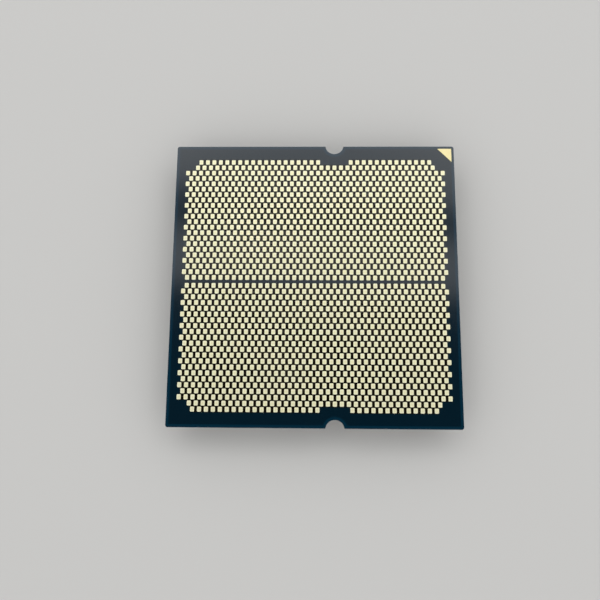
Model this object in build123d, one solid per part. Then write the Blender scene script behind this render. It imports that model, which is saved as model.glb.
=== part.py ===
from build123d import *
import math
import os

# A land grid array processor: a square laminate package with gold lands on one face, and on the other
# face the dies, their chip capacitors and a nickel-plated copper heat spreader on eight legs.
#
# Frame, in millimetres: it lies on the heat spreader's outer face at z = 0, and the lands face +Z. The
# origin is the centre of the heat spreader's outer face. The first contact's corner is at +X +Y, and
# both key notches are on the edges along X.

# Package outline
package_width = 40.0            # along X
package_depth = 40.0            # along Y
package_corner_radius = 0.3
notch_radius = 1.3
notch_centre_outset = 0.16      # the notch's centre lies this far outside the package's edge
notch_lands_along = 3           # the notches stand this many land pitches from the middle

# Lands: two banks, with alternate rows shifted by half a pitch
land_pitch_x = 0.94
land_pitch_y = 0.81
land_width = 0.56
land_length = 0.68
land_corner = 0.1               # chamfer of a land's corners
land_thickness = 0.02           # the lands stand this far proud of the mask
bank_gap = 1.14                 # between the centre lines of the two middle rows
land_margin_x = 1.3             # least distance from a land to the package's edge
land_margin_y = 2.0
lands_off_row_ends = (2, 1)     # left out at each end of the outermost row and of the next
notch_keep_out = 1.9            # lands of the outermost row within this of a notch's centre are left out

# First contact markers, right-angled triangles
marker_leg = 2.0
marker_inset = 0.35
marker_thickness = 0.02

# Laminate layers
core_thickness = 0.74
inner_buildup_thickness = 0.095
outer_buildup_thickness = 0.095
plane_thickness = 0.018
plane_edge_inset = 0.4          # the copper stops this far short of the package's edge
mask_thickness = 0.03

# Heat spreader
lid_edge_inset = 1.2            # from the package's edge to the legs' outer faces
ledge_width = 2.3               # how far the legs stand out of the raised face
ledge_height = 1.3              # from the outer face to the ledge that the socket's frame presses on
lid_plate_thickness = 2.5
leg_height = 1.0                # from the plate's inner face to a leg's foot
leg_width = 7.0
leg_gap = 11.0                  # the cut-out between the two legs of one side
leg_overlap = 0.6               # how far a leg reaches in under the plate
plate_corner_radius = 1.2
plate_edge_radius = 0.25        # round the raised face
leg_corner_radius = 0.5
ledge_edge_radius = 0.2         # along the ledge's three free edges

# Adhesive under the legs
adhesive_thickness = 0.1
adhesive_inset = 0.2            # from a foot's edges

# Dies, face down on bumps
compute_die_width = 10.53
compute_die_depth = 6.75
compute_die_gap = 1.4           # between the two compute dies
compute_die_place_y = 7.6
io_die_width = 13.04
io_die_depth = 9.40
io_die_gap = 2.4                # between the compute dies and the input/output die
die_thickness = 0.775
bump_height = 0.08
bump_width = 0.3                # across the flats
bump_pitch = 1.0
bump_edge_margin = 0.6
underfill_reach = 0.7           # past the die's edge, at the package
underfill_climb = 0.4           # up the die's sides
underfill_lean = 35.0           # degrees from upright
solder_inset = 0.15             # of the solder layer from the die's edge

# Chip capacitors, all of one size, in the lid's cut-outs
capacitor_length = 1.0
capacitor_width = 0.5
capacitor_height = 0.5
capacitor_terminal = 0.22       # length of each end terminal
capacitor_body_inset = 0.02     # the ceramic is this much slimmer than its terminals
capacitor_pitch = 0.86
capacitor_row_gap = 0.35        # between the ends of two rows
capacitor_clearance = 0.35      # from a leg or from the raised face's corner
capacitor_pad_length = 0.32
capacitor_pad_width = 0.44
capacitor_pad_thickness = 0.02

# Levels, from the heat spreader's outer face up to the lands
foot_z = lid_plate_thickness + leg_height
package_z = foot_z + adhesive_thickness
capacitor_z = package_z - capacitor_pad_thickness
lid_side_outer_z = package_z + mask_thickness
lid_side_inner_z = lid_side_outer_z + outer_buildup_thickness
core_z = lid_side_inner_z + inner_buildup_thickness
land_side_inner_z = core_z + core_thickness
land_side_outer_z = land_side_inner_z + inner_buildup_thickness
land_side_mask_z = land_side_outer_z + outer_buildup_thickness
land_z = land_side_mask_z + mask_thickness
die_z = package_z - bump_height - die_thickness

notch_x = notch_lands_along * land_pitch_x
lid_width = package_width - 2 * lid_edge_inset
lid_depth = package_depth - 2 * lid_edge_inset
plate_width = lid_width - 2 * ledge_width
plate_depth = lid_depth - 2 * ledge_width
leg_place = (leg_gap + leg_width) / 2


def solid_from(face, z, thickness):
    """A flat face raised into a solid from the level z."""
    return Solid.extrude(face.moved(Location((0, 0, z))), Vector(0, 0, thickness))


def copies(solid, places):
    """Copies of one solid. A place is x, y and an optional turn in degrees about Z."""
    return [solid.moved(Location((p[0], p[1], 0), (0, 0, p[2] if len(p) > 2 else 0))) for p in places]


def package_outline(inset=0.0):
    """The package's plan, with its two key notches, shrunk by inset all round."""
    plan = RectangleRounded(package_width - 2 * inset, package_depth - 2 * inset, package_corner_radius)
    for side in (1, -1):
        centre_y = side * (package_depth / 2 + notch_centre_outset)
        plan -= Pos(notch_x, centre_y) * Circle(notch_radius + inset)
    return plan.faces()[0]


def octagon(width, length, corner):
    """The wire of a rectangle with chamfered corners, centred."""
    x, y = width / 2, length / 2
    return Wire.make_polygon(
        [
            (x, corner - y), (x, y - corner), (x - corner, y), (corner - x, y),
            (-x, y - corner), (-x, corner - y), (corner - x, -y), (x - corner, -y),
        ],
        close=True,
    )


def pierced(face, wires):
    """A face with an opening for each wire."""
    return Face(face.outer_wire(), wires)


def land_places(bank):
    """The centres of one bank's lands. Bank is 1 on the +Y half and -1 on the other; row 0 is outermost."""
    columns = int((package_width - 2 * land_margin_x - land_width) / land_pitch_x) + 1
    free_depth = package_depth / 2 - land_margin_y - bank_gap / 2 - land_length / 2
    rows = int(free_depth / land_pitch_y) + 1
    places = []
    for row in range(rows):
        in_row = columns - row % 2
        left_out = lands_off_row_ends[row] if row < len(lands_off_row_ends) else 0
        y = bank * (bank_gap / 2 + (rows - 1 - row) * land_pitch_y)
        for column in range(left_out, in_row - left_out):
            x = (column - (in_row - 1) / 2) * land_pitch_x
            if row > 0 or abs(x - notch_x) > notch_keep_out:
                places.append((x, y))
    return places


def contact_lands(bank):
    land = solid_from(Face(octagon(land_width, land_length, land_corner)), land_z, land_thickness)
    return copies(land, land_places(bank))


def marker_outline():
    """The triangle in the +X +Y corner."""
    x, y = package_width / 2 - marker_inset, package_depth / 2 - marker_inset
    return Wire.make_polygon([(x, y), (x - marker_leg, y), (x, y - marker_leg)], close=True)


def solder_mask(z):
    return [solid_from(package_outline(), z, mask_thickness)]


def copper_plane(z):
    return [solid_from(package_outline(plane_edge_inset), z, plane_thickness)]


def buildup_layer(z, thickness, plane_z):
    """One dielectric layer, moulded round the copper plane in its face."""
    layer = solid_from(package_outline(), z, thickness)
    return (layer - copper_plane(plane_z)[0]).solids()


def core_laminate():
    return [solid_from(package_outline(), core_z, core_thickness)]


def grid(width, depth, pitch, margin):
    """The points of a centred square grid that fits in a rectangle, margin from its edges."""
    across = int((width - 2 * margin) / pitch) + 1
    along = int((depth - 2 * margin) / pitch) + 1
    return [
        ((i - (across - 1) / 2) * pitch, (j - (along - 1) / 2) * pitch)
        for i in range(across)
        for j in range(along)
    ]


def die_sites():
    """Each die's name, width, depth and centre."""
    reach = (compute_die_width + compute_die_gap) / 2
    io_y = compute_die_place_y - (compute_die_depth + io_die_depth) / 2 - io_die_gap
    return [
        ("compute_die_left", compute_die_width, compute_die_depth, -reach, compute_die_place_y),
        ("compute_die_right", compute_die_width, compute_die_depth, reach, compute_die_place_y),
        ("io_die", io_die_width, io_die_depth, 0.0, io_y),
    ]


def bump_places(width, depth, x, y):
    return [(x + u, y + v) for u, v in grid(width, depth, bump_pitch, bump_edge_margin)]


def bump_outline():
    """A regular octagon."""
    return octagon(bump_width, bump_width, bump_width / (2 + math.sqrt(2)))


def bumps(width, depth, x, y):
    """Solder bumps, between a die's face and the package."""
    bump = solid_from(Face(bump_outline()), package_z - bump_height, bump_height)
    return copies(bump, bump_places(width, depth, x, y))


def die(width, depth, x, y):
    return [solid_from((Pos(x, y) * Rectangle(width, depth)).faces()[0], die_z, die_thickness)]


def underfill(width, depth, x, y):
    """The resin under a die, round its bumps, with a sloped bank up the die's sides."""
    foot = Pos(x, y, package_z) * Rectangle(width + 2 * underfill_reach, depth + 2 * underfill_reach)
    climb = bump_height + underfill_climb
    bank = extrude(foot, amount=climb, dir=(0, 0, -1), taper=underfill_lean)
    openings = [bump_outline().moved(Location((u, v, 0))) for u, v in bump_places(width, depth, x, y)]
    sheet = (Pos(x, y) * Rectangle(width, depth)).faces()[0]
    collar = bank - Pos(x, y, package_z - climb / 2) * Box(width, depth, 2 * climb)
    layer = solid_from(pierced(sheet, openings), package_z - bump_height, bump_height)
    return (collar + layer).solids()


def die_solder(width, depth, x, y):
    """The indium layer between a die's back and the heat spreader."""
    plan = Pos(x, y) * Rectangle(width - 2 * solder_inset, depth - 2 * solder_inset)
    return [solid_from(plan.faces()[0], lid_plate_thickness, die_z - lid_plate_thickness)]


def side_frames():
    """For each side of the package: its name, its turn about Z, and the distance out to the plate's edge."""
    return [
        ("north", 0, plate_depth / 2, plate_width / 2),
        ("west", 90, plate_width / 2, plate_depth / 2),
        ("south", 180, plate_depth / 2, plate_width / 2),
        ("east", 270, plate_width / 2, plate_depth / 2),
    ]


def leg_frames():
    """The eight legs' frames. +Y points outward, and y = 0 is the plate's edge."""
    return [
        Rot(0, 0, turn) * Pos(place, out)
        for _, turn, out, _ in side_frames()
        for place in (leg_place, -leg_place)
    ]


def heat_spreader():
    """A plate whose outer face is raised above eight legs, two a side, that carry the ledge."""
    plate = extrude(RectangleRounded(plate_width, plate_depth, plate_corner_radius), lid_plate_thickness)
    outer_edges = plate.faces().sort_by(Axis.Z)[0].edges()
    plate = fillet(outer_edges, plate_edge_radius)
    for frame in leg_frames():
        plate += frame * leg()
    return plate.solids()


def leg():
    """One leg in its own frame, with its corners and the edges of its ledge rounded."""
    height = foot_z - ledge_height
    length = ledge_width + leg_overlap
    centre_y = (ledge_width - leg_overlap) / 2
    body = Pos(0, centre_y, ledge_height + height / 2) * Box(leg_width, length, height)
    outer_corners = body.edges().filter_by(Axis.Z).group_by(Axis.Y)[-1]
    body = fillet(outer_corners, leg_corner_radius)
    ledge_edges = body.faces().sort_by(Axis.Z)[0].edges().sort_by(Axis.Y)
    return fillet(ledge_edges[1:], ledge_edge_radius)


def lid_adhesive():
    """One pad under each leg's foot."""
    width = leg_width - 2 * adhesive_inset
    length = ledge_width + leg_overlap - 2 * adhesive_inset
    pads = []
    for frame in leg_frames():
        middle = frame * Pos(0, (ledge_width - leg_overlap) / 2)
        plan = middle * RectangleRounded(width, length, adhesive_inset)
        pads.append(solid_from(plan.faces()[0], foot_z, adhesive_thickness))
    return pads


def capacitor_places(turn, out, half):
    """One side's capacitors: two rows in the middle cut-out and in those at its ends, pointing outward."""
    row_step = capacitor_length + capacitor_row_gap
    room = leg_gap / 2 - capacitor_clearance - capacitor_width / 2
    middle = int(2 * room / capacitor_pitch) + 1
    along = [(i - (middle - 1) / 2) * capacitor_pitch for i in range(middle)]
    first = leg_place + leg_width / 2 + capacitor_clearance + capacitor_width / 2
    last = half - capacitor_width / 2
    ends = max(int((last - first) / capacitor_pitch) + 1, 0)
    for i in range(ends):
        along += [first + i * capacitor_pitch, -first - i * capacitor_pitch]
    rows = [out + ledge_width / 2 + lane * row_step / 2 for lane in (1, -1)]
    angle = math.radians(turn)
    return [
        (u * math.cos(angle) - v * math.sin(angle), u * math.sin(angle) + v * math.cos(angle), turn)
        for u in along
        for v in rows
    ]


def capacitor_bodies(places):
    height = capacitor_height - 2 * capacitor_body_inset
    length = capacitor_length - 2 * capacitor_terminal
    width = capacitor_width - 2 * capacitor_body_inset
    body = Pos(0, 0, capacitor_z - capacitor_height / 2) * Box(width, length, height)
    return copies(body.solids()[0], places)


def capacitor_terminals(places):
    """Both end caps of each capacitor."""
    solids = []
    for end in (1, -1):
        centre = end * (capacitor_length - capacitor_terminal) / 2
        block = Box(capacitor_width, capacitor_terminal, capacitor_height)
        block = Pos(0, centre, capacitor_z - capacitor_height / 2) * block
        solids += copies(block.solids()[0], places)
    return solids


def capacitor_pads(places):
    """The two tinned pads that each capacitor stands on."""
    solids = []
    for end in (1, -1):
        centre = end * (capacitor_length - capacitor_pad_length) / 2
        plate = Box(capacitor_pad_width, capacitor_pad_length, capacitor_pad_thickness)
        plate = Pos(0, centre, package_z - capacitor_pad_thickness / 2) * plate
        solids += copies(plate.solids()[0], places)
    return solids


def marker(z):
    return [solid_from(Face(marker_outline()), z, marker_thickness)]


def write(name, solids):
    """One file for one sub-part."""
    export_step(Compound(label=name, children=solids), f"parts/{name}.step")


os.makedirs("parts", exist_ok=True)

write("heat_spreader", heat_spreader())
write("lid_adhesive_pads", lid_adhesive())

for site_name, *site in die_sites():
    write(site_name, die(*site))
    write(f"{site_name}_solder_layer", die_solder(*site))
    write(f"{site_name}_bumps", bumps(*site))
    write(f"{site_name}_underfill", underfill(*site))

for side_name, *side in side_frames():
    side_places = capacitor_places(*side)
    write(f"capacitor_bodies_{side_name}", capacitor_bodies(side_places))
    write(f"capacitor_terminals_{side_name}", capacitor_terminals(side_places))
    write(f"capacitor_pads_{side_name}", capacitor_pads(side_places))

# Each copper plane lies in the face of its build-up layer that is nearer to the core
buildup_layers = [
    ("outer_buildup_lid_side", lid_side_outer_z, outer_buildup_thickness,
     "ground_plane_lid_side", lid_side_inner_z - plane_thickness),
    ("inner_buildup_lid_side", lid_side_inner_z, inner_buildup_thickness,
     "power_plane_lid_side", core_z - plane_thickness),
    ("inner_buildup_land_side", land_side_inner_z, inner_buildup_thickness,
     "power_plane_land_side", land_side_inner_z),
    ("outer_buildup_land_side", land_side_outer_z, outer_buildup_thickness,
     "ground_plane_land_side", land_side_outer_z),
]
for layer_name, layer_z, layer_thickness, plane_name, plane_z in buildup_layers:
    write(layer_name, buildup_layer(layer_z, layer_thickness, plane_z))
    write(plane_name, copper_plane(plane_z))

write("core_laminate", core_laminate())
write("corner_marker_lid_side", marker(package_z - marker_thickness))
write("solder_mask_lid_side", solder_mask(package_z))
write("solder_mask_land_side", solder_mask(land_side_mask_z))
write("contact_lands_upper_bank", contact_lands(1))
write("contact_lands_lower_bank", contact_lands(-1))
write("corner_marker_land_side", marker(land_z))
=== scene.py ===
import math

import bpy
import numpy as np
from mathutils import Matrix, Quaternion, Vector


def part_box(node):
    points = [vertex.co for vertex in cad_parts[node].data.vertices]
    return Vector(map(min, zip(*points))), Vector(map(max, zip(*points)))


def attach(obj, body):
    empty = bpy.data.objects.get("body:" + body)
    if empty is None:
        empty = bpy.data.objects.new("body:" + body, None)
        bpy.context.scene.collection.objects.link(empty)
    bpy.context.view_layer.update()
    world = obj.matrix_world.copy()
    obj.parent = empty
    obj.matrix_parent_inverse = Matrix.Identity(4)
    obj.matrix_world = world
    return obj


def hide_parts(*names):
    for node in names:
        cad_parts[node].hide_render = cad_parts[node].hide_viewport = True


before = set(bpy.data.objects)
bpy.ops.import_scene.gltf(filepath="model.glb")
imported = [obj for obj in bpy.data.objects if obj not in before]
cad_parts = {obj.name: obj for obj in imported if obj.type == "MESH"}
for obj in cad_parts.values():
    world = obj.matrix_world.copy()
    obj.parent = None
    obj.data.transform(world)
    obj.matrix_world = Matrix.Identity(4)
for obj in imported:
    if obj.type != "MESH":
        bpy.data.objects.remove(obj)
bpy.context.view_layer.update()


# ---- Heat spreader
# A stamped copper plate with eight legs, plated all over with satin nickel. Its broad outer face is the
# one that the processor lies on here, so what shows is the raised edge, the ledge and the legs.

MM = 0.001


def new_finish(name, colour, metallic=0.0, roughness=0.5, **sockets):
    """A material of one shader, with the values that are the same all over set on its own sockets."""
    finish = bpy.data.materials.new(name)
    finish.use_nodes = True
    shader = finish.node_tree.nodes["Principled BSDF"]
    shader.inputs["Base Color"].default_value = (*colour, 1)
    shader.inputs["Metallic"].default_value = metallic
    shader.inputs["Roughness"].default_value = roughness
    for socket, value in sockets.items():
        shader.inputs[socket.replace("_", " ")].default_value = value
    return finish


def add_node(finish, kind, **links):
    """A node with its inputs fed by outputs or set to plain values, by the inputs' names or numbers."""
    node = finish.node_tree.nodes.new(kind)
    for key, value in links.items():
        socket = node.inputs[int(key[1:])] if key[1:].isdigit() else node.inputs[key.replace("_", " ")]
        if isinstance(value, bpy.types.NodeSocket):
            finish.node_tree.links.new(value, socket)
        else:
            socket.default_value = value
    return node


def place_in(finish, stretch=(1, 1, 1)):
    """The point on the object, in metres, with each axis stretched."""
    where = add_node(finish, "ShaderNodeTexCoord").outputs["Object"]
    return add_node(finish, "ShaderNodeMapping", Vector=where, Scale=stretch).outputs["Vector"]


def grain(finish, size, detail=4.0, stretch=(1, 1, 1)):
    """Smooth noise from 0 to 1 whose blotches are about size metres across."""
    place = place_in(finish, stretch)
    return add_node(finish, "ShaderNodeTexNoise", Vector=place, Scale=1 / size, Detail=detail).outputs[0]


def spread(finish, value, low, high, start=0.3, end=0.7):
    """Value carried from the span start to end onto the span low to high."""
    node = add_node(finish, "ShaderNodeMapRange", Value=value, From_Min=start, From_Max=end, To_Min=low,
                    To_Max=high)
    return node.outputs["Result"]


def blend_colours(finish, share, first, second):
    """First where share is 0, second where it is 1. Each is a colour or an output."""
    node = finish.node_tree.nodes.new("ShaderNodeMix")
    node.data_type = "RGBA"
    finish.node_tree.links.new(share, node.inputs["Factor"])
    for socket, colour in ((node.inputs[6], first), (node.inputs[7], second)):
        if isinstance(colour, bpy.types.NodeSocket):
            finish.node_tree.links.new(colour, socket)
        else:
            socket.default_value = (*colour, 1)
    return node.outputs[2]


def feed(finish, socket, value):
    """Joins an output to a socket of the material's shader."""
    shader = finish.node_tree.nodes["Principled BSDF"]
    finish.node_tree.links.new(value, shader.inputs[socket])


def relief(finish, height, depth):
    """Bump of depth metres from a height of 0 to 1."""
    bump = add_node(finish, "ShaderNodeBump", Height=height, Distance=depth, Strength=1.0)
    feed(finish, "Normal", bump.outputs["Normal"])


def wear(node_name, finish):
    """Gives a CAD node its material."""
    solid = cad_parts[node_name]
    solid.data.materials.clear()
    solid.data.materials.append(finish)


nickel_light = (0.55, 0.535, 0.505)
nickel_dark = (0.43, 0.415, 0.39)
nickel = new_finish("satin_nickel", nickel_light, metallic=1.0)
cloud = spread(nickel, grain(nickel, 6 * MM), 0, 1)
feed(nickel, "Base Color", blend_colours(nickel, cloud, nickel_light, nickel_dark))
feed(nickel, "Roughness", spread(nickel, grain(nickel, 0.8 * MM, detail=8), 0.13, 0.24))
relief(nickel, grain(nickel, 0.05 * MM, detail=3, stretch=(1, 1, 0.25)), 0.0007 * MM)
wear("heat_spreader", nickel)


# ---- Dies
# Two compute dies and one input and output die: bare polished silicon, face down on solder bumps, with
# dark resin under them and an indium layer to the heat spreader. They show only through the lid's gaps.

silicon = new_finish("polished_silicon", (0.10, 0.10, 0.13), metallic=0.6)
feed(silicon, "Roughness", spread(silicon, grain(silicon, 2 * MM), 0.08, 0.16))

indium = new_finish("indium", (0.62, 0.63, 0.65), metallic=1.0)
feed(indium, "Roughness", spread(indium, grain(indium, 0.5 * MM), 0.35, 0.55))
relief(indium, grain(indium, 0.3 * MM), 0.01 * MM)

bump_solder = new_finish("bump_solder", (0.55, 0.55, 0.57), metallic=1.0)
feed(bump_solder, "Roughness", spread(bump_solder, grain(bump_solder, 0.1 * MM), 0.3, 0.5))

resin_black, resin_brown = (0.020, 0.017, 0.014), (0.050, 0.040, 0.030)
underfill = new_finish("underfill_resin", resin_black)
feed(underfill, "Base Color", blend_colours(underfill, grain(underfill, 0.4 * MM), resin_black, resin_brown))
feed(underfill, "Roughness", spread(underfill, grain(underfill, 1 * MM), 0.25, 0.45))

for die in ("compute_die_left", "compute_die_right", "io_die"):
    wear(die, silicon)
    wear(f"{die}_solder_layer", indium)
    wear(f"{die}_bumps", bump_solder)
    wear(f"{die}_underfill", underfill)


# ---- Lid adhesive
# A bead of grey silicone under each of the eight feet. The lid is pressed down on it while it is wet, so
# its side bulges and its outline wanders a little.

def make_piece(name, vertices, faces, finish, smooth=True):
    """A mesh object at the origin, from arrays of points in metres and of corners."""
    mesh = bpy.data.meshes.new(name)
    mesh.from_pydata(np.asarray(vertices, float).tolist(), [], [list(map(int, f)) for f in faces])
    mesh.polygons.foreach_set("use_smooth", [smooth] * len(mesh.polygons))
    mesh.update()
    piece = bpy.data.objects.new(name, mesh)
    bpy.context.scene.collection.objects.link(piece)
    mesh.materials.append(finish)
    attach(piece, "root")
    return piece


def rounded_outline(width, length, radius, steps):
    """Points round a rectangle with quarter-circle corners, anticlockwise, steps + 1 points to a corner."""
    turn = np.linspace(0, math.pi / 2, steps + 1)
    corners = []
    for quarter, (side_x, side_y) in enumerate(((1, 1), (-1, 1), (-1, -1), (1, -1))):
        centre = np.array([side_x * (width / 2 - radius), side_y * (length / 2 - radius)])
        angle = turn + quarter * math.pi / 2
        corners.append(centre + radius * np.column_stack([np.cos(angle), np.sin(angle)]))
    return np.concatenate(corners)


def ring_faces(rings, around):
    """Quads between rings of points laid one after another, and a face over the first and the last."""
    ring, step = np.meshgrid(np.arange(rings - 1), np.arange(around), indexing="ij")
    low, following = ring * around + step, ring * around + (step + 1) % around
    walls = np.stack([low, following, following + around, low + around], -1).reshape(-1, 4)
    return walls, np.arange(around)[::-1], np.arange(around) + (rings - 1) * around


adhesive_low, adhesive_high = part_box("lid_adhesive_pads")
pad_count, pads_to_a_side = 8, 2
pad_width, pad_depth, pad_corner = 6.6 * MM, 2.5 * MM, 0.5 * MM
pad_out = adhesive_high.y - pad_depth / 2
pad_along = 9.0 * MM
bead_swell, bead_levels, bead_corner_steps = 0.14 * MM, 5, 7
bead_outline = rounded_outline(pad_width, pad_depth, pad_corner, bead_corner_steps)

# the bead swells straight away from a smaller outline inside its own
inside, inside_corner = 1 * MM, 0.1 * MM
inner_width, inner_depth = pad_width - 2 * inside, pad_depth - 2 * inside
bead_normal = bead_outline - rounded_outline(inner_width, inner_depth, inside_corner, bead_corner_steps)
bead_normal /= np.linalg.norm(bead_normal, axis=1, keepdims=True)

# two sine waves round the outline, the second one quicker, share out the swelling from 0 to 1
wave_step, next_bead = 0.55, 2.1
wave_middle, slow_wave, quick_wave = 0.5, 0.3, 0.2
quicker, quick_start = 2.7, 1
bead_points, bead_faces = [], []
for pad in range(pad_count):
    side, hand = divmod(pad, pads_to_a_side)
    phase = np.arange(len(bead_outline)) * wave_step + pad * next_bead
    wander = wave_middle + slow_wave * np.sin(phase) + quick_wave * np.sin(quicker * phase + quick_start)
    turn = side * math.pi / 2
    quarter_turn = np.array([[math.cos(turn), math.sin(turn)], [-math.sin(turn), math.cos(turn)]])
    centre = np.array([(1 - 2 * hand) * pad_along, pad_out])
    for level in np.linspace(0, 1, bead_levels):
        out = bead_swell * wander * math.sqrt(max(0.0, 1 - (2 * level - 1) ** 2))
        ring = (centre + bead_outline + bead_normal * out[:, None]) @ quarter_turn
        z = adhesive_low.z + level * (adhesive_high.z - adhesive_low.z)
        bead_points.append(np.column_stack([ring, np.full(len(ring), z)]))
    walls, bottom, top = ring_faces(bead_levels, len(bead_outline))
    first = pad * bead_levels * len(bead_outline)
    bead_faces += [*(walls + first), bottom + first, top + first]

silicone = new_finish("grey_silicone", (0.30, 0.30, 0.29), roughness=0.5)
silicone_light, silicone_dark = (0.36, 0.36, 0.34), (0.20, 0.20, 0.19)
silicone_cloud = spread(silicone, grain(silicone, 0.5 * MM), 0, 1)
feed(silicone, "Base Color", blend_colours(silicone, silicone_cloud, silicone_light, silicone_dark))
feed(silicone, "Roughness", spread(silicone, grain(silicone, 0.2 * MM), 0.4, 0.6))
adhesive_beads = make_piece("adhesive_beads", np.concatenate(bead_points), bead_faces, silicone)
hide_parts("lid_adhesive_pads")


# ---- Chip capacitors
# Ceramic blocks with tinned ends, in two rows in each cut-out of the lid. They are soldered to tinned pads
# on the package, so a small concave bank of solder climbs the end of each.

def solid_boxes(node_name, corners):
    """The lowest and the highest corner of each solid of a CAD node. Each has that many mesh corners."""
    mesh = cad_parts[node_name].data
    points = np.empty(len(mesh.vertices) * 3)
    mesh.vertices.foreach_get("co", points)
    solids = points.reshape(-1, corners, 3)
    return solids.min(1), solids.max(1)


def repeat(points, faces, places, turn=0.0):
    """One shape copied to each place, turned about Z. The faces of a group have as many corners each."""
    turned = points.copy()
    turned[:, 0] = points[:, 0] * math.cos(turn) - points[:, 1] * math.sin(turn)
    turned[:, 1] = points[:, 0] * math.sin(turn) + points[:, 1] * math.cos(turn)
    everywhere = (places[:, None, :] + turned[None]).reshape(-1, 3)
    shift = np.arange(len(places)) * len(points)
    copied = []
    for group in faces:
        group = np.atleast_2d(group)
        copied += list((shift[:, None, None] + group[None]).reshape(-1, group.shape[1]))
    return everywhere, copied


def bar(sections, corner_steps=2):
    """A bar along Y through rounded sections. Each is y, width, height and corner radius."""
    rings = []
    for y, width, height, radius in sections:
        outline = rounded_outline(width, height, radius, corner_steps)
        rings.append(np.column_stack([outline[:, 0], np.full(len(outline), y), outline[:, 1]]))
    walls, first, last = ring_faces(len(rings), len(rings[0]))
    return np.concatenate(rings), [walls[:, ::-1], first[::-1], last[::-1]]


BOX_CORNERS = 24
cap_length, cap_width, cap_height = 1.0 * MM, 0.5 * MM, 0.5 * MM
end_length, round_off = 0.22 * MM, 0.05 * MM
body_side, body_corner, body_tuck = 0.46 * MM, 0.03 * MM, 0.03 * MM
body_reach = cap_length / 2 - end_length + body_tuck
body_points, body_faces = bar([(y, body_side, body_side, body_corner) for y in (-body_reach, body_reach)])

# an end starts with a narrow lip on the ceramic and closes in steps, each so far back and so much smaller
lip_side, lip_length = 0.47 * MM, 0.02 * MM
end_sections = [
    (-end_length / 2, lip_side, lip_side, round_off),
    (-end_length / 2 + lip_length, cap_width, cap_height, round_off),
]
for back, smaller in ((0.05 * MM, 0.0), (0.01 * MM, 0.04 * MM), (0.0, 0.12 * MM)):
    end_sections.append((end_length / 2 - back, cap_width - smaller, cap_height - smaller, round_off))
end_points, end_faces = bar(end_sections)


def fillet_bank():
    """A hollow bank of solder: a quarter ellipse swept across the width.

    It runs from reach out along the pad to climb down the end, which stands at y = 0. The pad is above it.
    """
    reach, climb, half_width, bend_points = 0.16 * MM, 0.26 * MM, 0.21 * MM, 5
    bend = np.linspace(0, math.pi / 2, bend_points)
    curve_y, curve_z = reach * (1 - np.sin(bend)), climb * (1 - np.cos(bend))
    profile = np.column_stack([np.append(curve_y, 0), np.append(curve_z, 0)])
    points = [(x, y, -z) for x in (-half_width, half_width) for y, z in profile]
    count = len(profile)
    step = np.arange(count)
    walls = np.column_stack([step, (step + 1) % count, (step + 1) % count + count, step + count])
    return np.array(points), [walls, step[::-1], step + count]


bank_points, bank_faces = fillet_bank()

ceramic_tan, ceramic_brown = (0.36, 0.235, 0.145), (0.25, 0.155, 0.092)
ceramic = new_finish("capacitor_ceramic", ceramic_tan, roughness=0.55)
shade = spread(ceramic, grain(ceramic, 0.8 * MM, detail=6), 0, 1)
feed(ceramic, "Base Color", blend_colours(ceramic, shade, ceramic_tan, ceramic_brown))
relief(ceramic, grain(ceramic, 0.05 * MM), 0.006 * MM)

tin_bright, tin_dull = (0.72, 0.71, 0.69), (0.50, 0.49, 0.47)
tin = new_finish("matte_tin", tin_bright, metallic=1.0)
feed(tin, "Base Color", blend_colours(tin, spread(tin, grain(tin, 0.3 * MM), 0, 1), tin_bright, tin_dull))
feed(tin, "Roughness", spread(tin, grain(tin, 0.12 * MM), 0.3, 0.55))
relief(tin, grain(tin, 0.08 * MM), 0.005 * MM)

package_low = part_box("solder_mask_lid_side")[0].z
for compass, degrees in (("north", 0), ("west", 90), ("south", 180), ("east", 270)):
    turn = math.radians(degrees)
    lows, highs = solid_boxes(f"capacitor_bodies_{compass}", BOX_CORNERS)
    bodies = (lows + highs) / 2
    points, faces = repeat(body_points, body_faces, bodies, turn)
    ceramic_bodies = make_piece(f"capacitor_ceramics_{compass}", points, faces, ceramic, smooth=False)
    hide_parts(f"capacitor_bodies_{compass}")

    end_vertices, end_polygons = [], []
    outward = np.array([-math.sin(turn), math.cos(turn), 0])
    for end in (1, -1):
        ends = bodies + end * outward * (cap_length - end_length) / 2
        facing = turn if end == 1 else turn + math.pi
        toes = bodies + end * outward * cap_length / 2
        toes[:, 2] = package_low
        for shape, shape_faces, spots in ((end_points, end_faces, ends), (bank_points, bank_faces, toes)):
            points, faces = repeat(shape, shape_faces, spots, facing)
            shift = sum(map(len, end_vertices))
            end_vertices.append(points)
            end_polygons += [f + shift for f in faces]
    tinned_ends = make_piece(f"capacitor_ends_{compass}", np.concatenate(end_vertices), end_polygons, tin)
    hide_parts(f"capacitor_terminals_{compass}")
    wear(f"capacitor_pads_{compass}", tin)


# ---- Laminate
# Glass cloth in epoxy for the core, with thin build-up resin on both sides of it and copper planes inside,
# all pressed in one stack. The package is cut out with a router, which leaves its edge matte and streaked.

core_pale, core_deep = (0.085, 0.170, 0.125), (0.030, 0.085, 0.075)
core = new_finish("glass_epoxy_core", core_deep, roughness=0.6)
layers = grain(core, 0.06 * MM, detail=3, stretch=(0.06, 0.06, 1))
feed(core, "Base Color", blend_colours(core, spread(core, layers, 0, 1), core_deep, core_pale))
relief(core, grain(core, 0.05 * MM, detail=3, stretch=(1, 1, 0.1)), 0.01 * MM)
wear("core_laminate", core)

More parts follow.
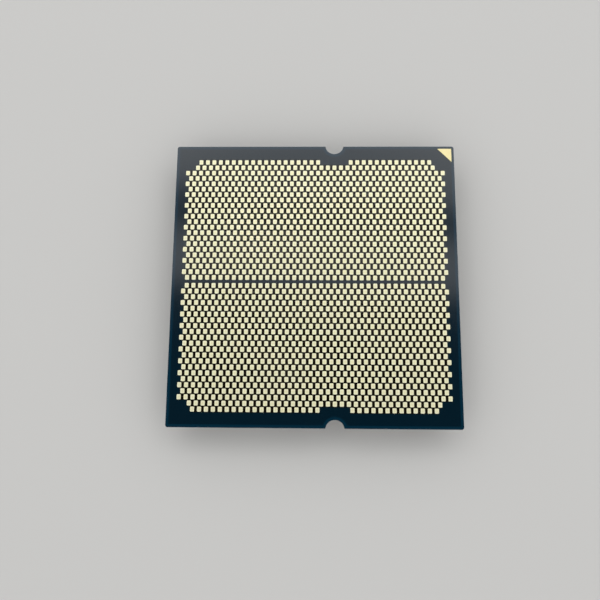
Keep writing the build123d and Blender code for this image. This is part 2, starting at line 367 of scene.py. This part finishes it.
buildup_teal, buildup_dark = (0.010, 0.060, 0.070), (0.006, 0.030, 0.038)
buildup = new_finish("buildup_resin", buildup_teal, roughness=0.45)
buildup_cloud = spread(buildup, grain(buildup, 0.3 * MM), 0, 1)
feed(buildup, "Base Color", blend_colours(buildup, buildup_cloud, buildup_teal, buildup_dark))
relief(buildup, grain(buildup, 0.05 * MM, detail=3, stretch=(1, 1, 0.1)), 0.008 * MM)

copper = new_finish("copper_foil", (0.72, 0.35, 0.22), metallic=1.0)
feed(copper, "Roughness", spread(copper, grain(copper, 0.2 * MM), 0.35, 0.55))

for face_side in ("lid_side", "land_side"):
    wear(f"inner_buildup_{face_side}", buildup)
    wear(f"outer_buildup_{face_side}", buildup)
    wear(f"ground_plane_{face_side}", copper)
    wear(f"power_plane_{face_side}", copper)


# ---- Solder mask
# A cured film of dark blue-green resin over both faces, darkest where copper lies under it. The copper stops
# short of the package's edge and of the notches, so there the film shows its teal. Among the lands it is
# browner and less glossy.

mask_over_copper = (0.0008, 0.0100, 0.0190)
mask_over_resin = (0.0010, 0.0210, 0.0410)
copper_stop = 0.4 * MM
notch_place, notch_radius, notch_outset = 2.82 * MM, 1.3 * MM, 0.16 * MM
fade = 0.04 * MM
half_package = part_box("solder_mask_land_side")[1].x


def maths(finish, operation, first, second=0.0):
    """The output of one sum. Each input is a number or an output."""
    node = add_node(finish, "ShaderNodeMath", _0=first, _1=second)
    node.operation = operation
    return node.outputs[0]


def plan_place(finish):
    """A point's X, and how far it is from the middle along X and along Y."""
    where = add_node(finish, "ShaderNodeTexCoord").outputs["Object"]
    axes = add_node(finish, "ShaderNodeSeparateXYZ", Vector=where).outputs
    x, y = axes["X"], axes["Y"]
    return x, maths(finish, "ABSOLUTE", x), maths(finish, "ABSOLUTE", y)


def edge_share(finish):
    """1 within copper_stop of the package's edge or of a notch, and 0 further in."""
    x, out_x, out_y = plan_place(finish)
    from_edge = maths(finish, "SUBTRACT", half_package, maths(finish, "MAXIMUM", out_x, out_y))
    border = spread(finish, from_edge, 1, 0, copper_stop - fade, copper_stop + fade)
    place = add_node(finish, "ShaderNodeCombineXYZ", X=x, Y=out_y).outputs[0]
    centre = (notch_place, half_package + notch_outset, 0)
    away = add_node(finish, "ShaderNodeVectorMath", _0=place, _1=centre)
    away.operation = "DISTANCE"
    from_notch = maths(finish, "SUBTRACT", away.outputs["Value"], notch_radius)
    notch = spread(finish, from_notch, 1, 0, copper_stop - fade, copper_stop + fade)
    return maths(finish, "MAXIMUM", border, notch)


LAND_CORNERS = 48
land_lows, land_highs = solid_boxes("contact_lands_upper_bank", LAND_CORNERS)
land_middles = (land_lows + land_highs) / 2
bank_low, bank_high = land_lows.min(0), land_highs.max(0)
land_width, land_length = (land_highs - land_lows)[0, :2]
row_places = np.unique(np.round(land_middles[:, 1], 6))
row_pitch = (row_places[-1] - row_places[0]) / (len(row_places) - 1)
inner_row = np.sort(land_middles[land_middles[:, 1] < row_places[0] + row_pitch / 2, 0])
land_pitch = inner_row[1] - inner_row[0]
outer_row = land_middles[land_middles[:, 1] > row_places[-1] - row_pitch / 2, 0]
bay_reach = np.abs(outer_row - notch_place).min() - land_width / 2


def between_lands(finish):
    """1 among the lands, and 0 past the ends of their rows, on the middle strip and by the notches.

    Rows count from 0, the outermost. Odd rows are half a pitch shorter at each end, and the two outermost
    leave out 2 lands and 1 there. A row's number is whole, so each test of it falls halfway to the next.
    """
    outermost_left_out, half_row, soft = 2.0, 0.5, 0.1
    x, out_x, out_y = plan_place(finish)
    top = bank_high[1] + (row_pitch - land_length) / 2
    from_top = maths(finish, "SUBTRACT", top, out_y)
    row = maths(finish, "FLOOR", maths(finish, "DIVIDE", from_top, row_pitch))
    stagger = maths(finish, "MULTIPLY", maths(finish, "MODULO", row, 2.0), land_pitch / 2)
    left_out = maths(finish, "MAXIMUM", maths(finish, "SUBTRACT", outermost_left_out, row), 0.0)
    shorter = maths(finish, "ADD", stagger, maths(finish, "MULTIPLY", left_out, land_pitch))
    past_end = maths(finish, "SUBTRACT", maths(finish, "ADD", out_x, shorter), bank_high[0])
    along = spread(finish, past_end, 1, 0, -fade, fade)
    rows = spread(finish, out_y, 0, 1, bank_low[1] - fade, bank_low[1] + fade)
    from_first = spread(finish, row, 0, 1, -half_row - soft, -half_row + soft)
    rows = maths(finish, "MULTIPLY", rows, from_first)
    aside = maths(finish, "ABSOLUTE", maths(finish, "SUBTRACT", x, notch_place))
    past_bay = spread(finish, aside, 0, 1, bay_reach - fade, bay_reach + fade)
    from_second = spread(finish, row, 0, 1, half_row - soft, half_row + soft)
    past_bay = maths(finish, "MAXIMUM", past_bay, from_second)
    return maths(finish, "MULTIPLY", maths(finish, "MULTIPLY", along, rows), past_bay)


mask_among_lands, coat_among_lands = (0.0060, 0.0046, 0.0020), 0.35
mask = new_finish("solder_mask", mask_over_copper, IOR=1.33, Coat_Roughness=0.13, Coat_IOR=1.56)
plain_mask = blend_colours(mask, edge_share(mask), mask_over_copper, mask_over_resin)
among = between_lands(mask)
feed(mask, "Base Color", blend_colours(mask, among, plain_mask, mask_among_lands))
feed(mask, "Coat Weight", spread(mask, among, 1, coat_among_lands, 0, 1))
feed(mask, "Roughness", spread(mask, grain(mask, 3 * MM), 0.12, 0.18))
relief(mask, grain(mask, 0.25 * MM, detail=2), 0.0012 * MM)
wear("solder_mask_land_side", mask)
wear("solder_mask_lid_side", mask)


# ---- Contact lands
# Copper lands plated with nickel and pale matte gold, in two banks. The plating rounds their edges and
# leaves a slightly dished middle, so each one has a brighter rim.

land_round, least_round, land_corner_steps = 0.10 * MM, 0.03 * MM, 2
wall_share, rim_inset = 0.6, 0.022 * MM
dish_inset, dish_share = 0.09 * MM, 0.9


def land_shape(width, length, height):
    """Rings of one land from its foot, up the wall, over the rim and down into the dished middle."""
    rings = []
    for inset, share in ((0.0, 0.0), (0.0, wall_share), (rim_inset, 1.0), (dish_inset, dish_share)):
        radius = max(land_round - inset, least_round)
        outline = rounded_outline(width - 2 * inset, length - 2 * inset, radius, land_corner_steps)
        rings.append(np.column_stack([outline, np.full(len(outline), share * height)]))
    walls, bottom, top = ring_faces(len(rings), len(rings[0]))
    return np.concatenate(rings), [walls, bottom, top]


def keep_places(piece, shape_points):
    """Keeps on each corner its place on its own land, from the land's middle."""
    layer = piece.data.attributes.new("place_on_land", "FLOAT_VECTOR", "POINT")
    lands_here = len(piece.data.vertices) // len(shape_points)
    layer.data.foreach_set("vector", np.tile(shape_points, (lands_here, 1)).ravel())


def dish_shade_and_probe_mark(finish):
    """1 in the middle of a land and 0 away from there: painted shade in the dished middle, together with the
    mark where test contacts have rubbed it.
    """
    mark_stretch, mark_core, mark_edge = (1.3, 0.9, 0), 0.04 * MM, 0.2 * MM
    place = finish.node_tree.nodes.new("ShaderNodeAttribute")
    place.attribute_name = "place_on_land"
    flat = add_node(finish, "ShaderNodeVectorMath", _0=place.outputs["Vector"], _1=mark_stretch)
    flat.operation = "MULTIPLY"
    away = add_node(finish, "ShaderNodeVectorMath", _0=flat.outputs[0])
    away.operation = "LENGTH"
    return spread(finish, away.outputs["Value"], 1, 0, mark_core, mark_edge)


def plated(name, pale, warm):
    """Matte gold plating that wanders between two tones, and the output that holds its colour."""
    finish = new_finish(name, pale, metallic=1.0)
    cloud = spread(finish, grain(finish, 1.2 * MM, detail=6), 0, 1)
    feed(finish, "Roughness", spread(finish, grain(finish, 0.3 * MM), 0.52, 0.61))
    relief(finish, grain(finish, 0.04 * MM, detail=2), 0.002 * MM)
    return finish, blend_colours(finish, cloud, pale, warm)


# Each land's middle is painted darker and warmer: painted shade in the dished middle, together with a faint
# mark where test contacts have rubbed.
gold_pale, gold_warm, gold_shaded_and_rubbed = (0.92, 0.91, 0.69), (0.90, 0.875, 0.62), (0.88, 0.825, 0.52)
land_gold, land_tone = plated("land_gold", gold_pale, gold_warm)
feed(land_gold, "Base Color", blend_colours(land_gold, dish_shade_and_probe_mark(land_gold), land_tone, gold_shaded_and_rubbed))

for bank in ("upper", "lower"):
    bank_node = f"contact_lands_{bank}_bank"
    lows, highs = solid_boxes(bank_node, LAND_CORNERS)
    spots = (lows + highs) / 2
    spots[:, 2] = lows[:, 2]
    land_points, land_faces = land_shape(*(highs - lows)[0])
    points, faces = repeat(land_points, land_faces, spots)
    lands = make_piece(f"gold_lands_{bank}_bank", points, faces, land_gold)
    keep_places(lands, land_points)
    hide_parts(bank_node)

marker_gold, marker_tone = plated("marker_gold", (0.88, 0.80, 0.47), (0.86, 0.77, 0.43))
feed(marker_gold, "Base Color", marker_tone)
wear("corner_marker_land_side", marker_gold)
wear("corner_marker_lid_side", marker_gold)


# ---- Studio
# A pale matte floor under a soft dome of light that is dark straight overhead, and two wide soft lights one
# past the other beyond the +Y edge, whose mirror image gives the mask its sheen on that half.

floor_mesh = bpy.data.meshes.new("floor")
floor_reach = 4.0
floor_corners = [(x * floor_reach, y * floor_reach, 0) for x, y in ((-1, -1), (1, -1), (1, 1), (-1, 1))]
floor_mesh.from_pydata(floor_corners, [], [(0, 1, 2, 3)])
floor = bpy.data.objects.new("floor", floor_mesh)
bpy.context.scene.collection.objects.link(floor)
floor_mesh.materials.append(new_finish("pale_floor", (0.55, 0.55, 0.545), roughness=0.9))

world = bpy.data.worlds.new("studio")
bpy.context.scene.world = world
world.use_nodes = True
sky = world.node_tree.nodes["Background"]
towards = add_node(world, "ShaderNodeTexCoord").outputs["Generated"]
height = add_node(world, "ShaderNodeSeparateXYZ", Vector=towards).outputs["Z"]
horizon, dome, zenith = (0.48, 0.48, 0.485), (1.32, 1.31, 1.29), (0.004, 0.004, 0.005)
full_dome, zenith_start, zenith_end = 0.5, 0.80, 0.92
low_sky = blend_colours(world, spread(world, height, 0, 1, 0.0, full_dome), horizon, dome)
whole_sky = blend_colours(world, spread(world, height, 0, 1, zenith_start, zenith_end), low_sky, zenith)
world.node_tree.links.new(whole_sky, sky.inputs["Color"])


def soft_light(name, place, width, length, power, turn):
    """A rectangular soft light that shines straight down, turned about the vertical."""
    lamp = bpy.data.lights.new(name, "AREA")
    lamp.shape, lamp.size, lamp.size_y, lamp.energy = "RECTANGLE", width, length, power
    light = bpy.data.objects.new(name, lamp)
    light.location = place
    light.rotation_mode = "QUATERNION"
    light.rotation_quaternion = Quaternion((0, 0, 1), turn)
    bpy.context.scene.collection.objects.link(light)


# each light's power goes with its area, so that both look equally bright
near_span, far_span = (0.0920, 0.1505), (0.1905, 0.46)
near_turn, far_turn = math.radians(-2.6), math.radians(-5)
light_height, light_width, brightness = 0.5, 0.8, 0.96
for name, (start, end), turn in (
    ("near_soft_light", near_span, near_turn),
    ("far_soft_light", far_span, far_turn),
):
    middle, length = (start + end) / 2, end - start
    power = brightness * math.pi * light_width * length
    soft_light(name, (0, middle, light_height), light_width, length, power, turn)

camera_data = bpy.data.cameras.new("camera")
camera_data.lens, camera_data.sensor_width = 34.5, 36
camera = bpy.data.objects.new("camera", camera_data)
bpy.context.scene.collection.objects.link(camera)
bpy.context.scene.camera = camera
camera.location = Vector((-0.312, -15.800, 83.47)) * MM
camera_aim = Vector((-1.991, -2.587, 4.8)) * MM
camera_roll = math.radians(0.46)
forward = (camera_aim - camera.location).normalized()
right = forward.cross(Vector((0, 1, 0))).normalized()
level = Matrix((right, right.cross(forward), -forward)).transposed()
camera.rotation_mode = "QUATERNION"
camera.rotation_quaternion = level.to_quaternion() @ Quaternion((0, 0, 1), camera_roll)
camera_data.clip_start, camera_data.clip_end = 1 * MM, 10

bpy.context.scene.view_settings.view_transform = "Standard"
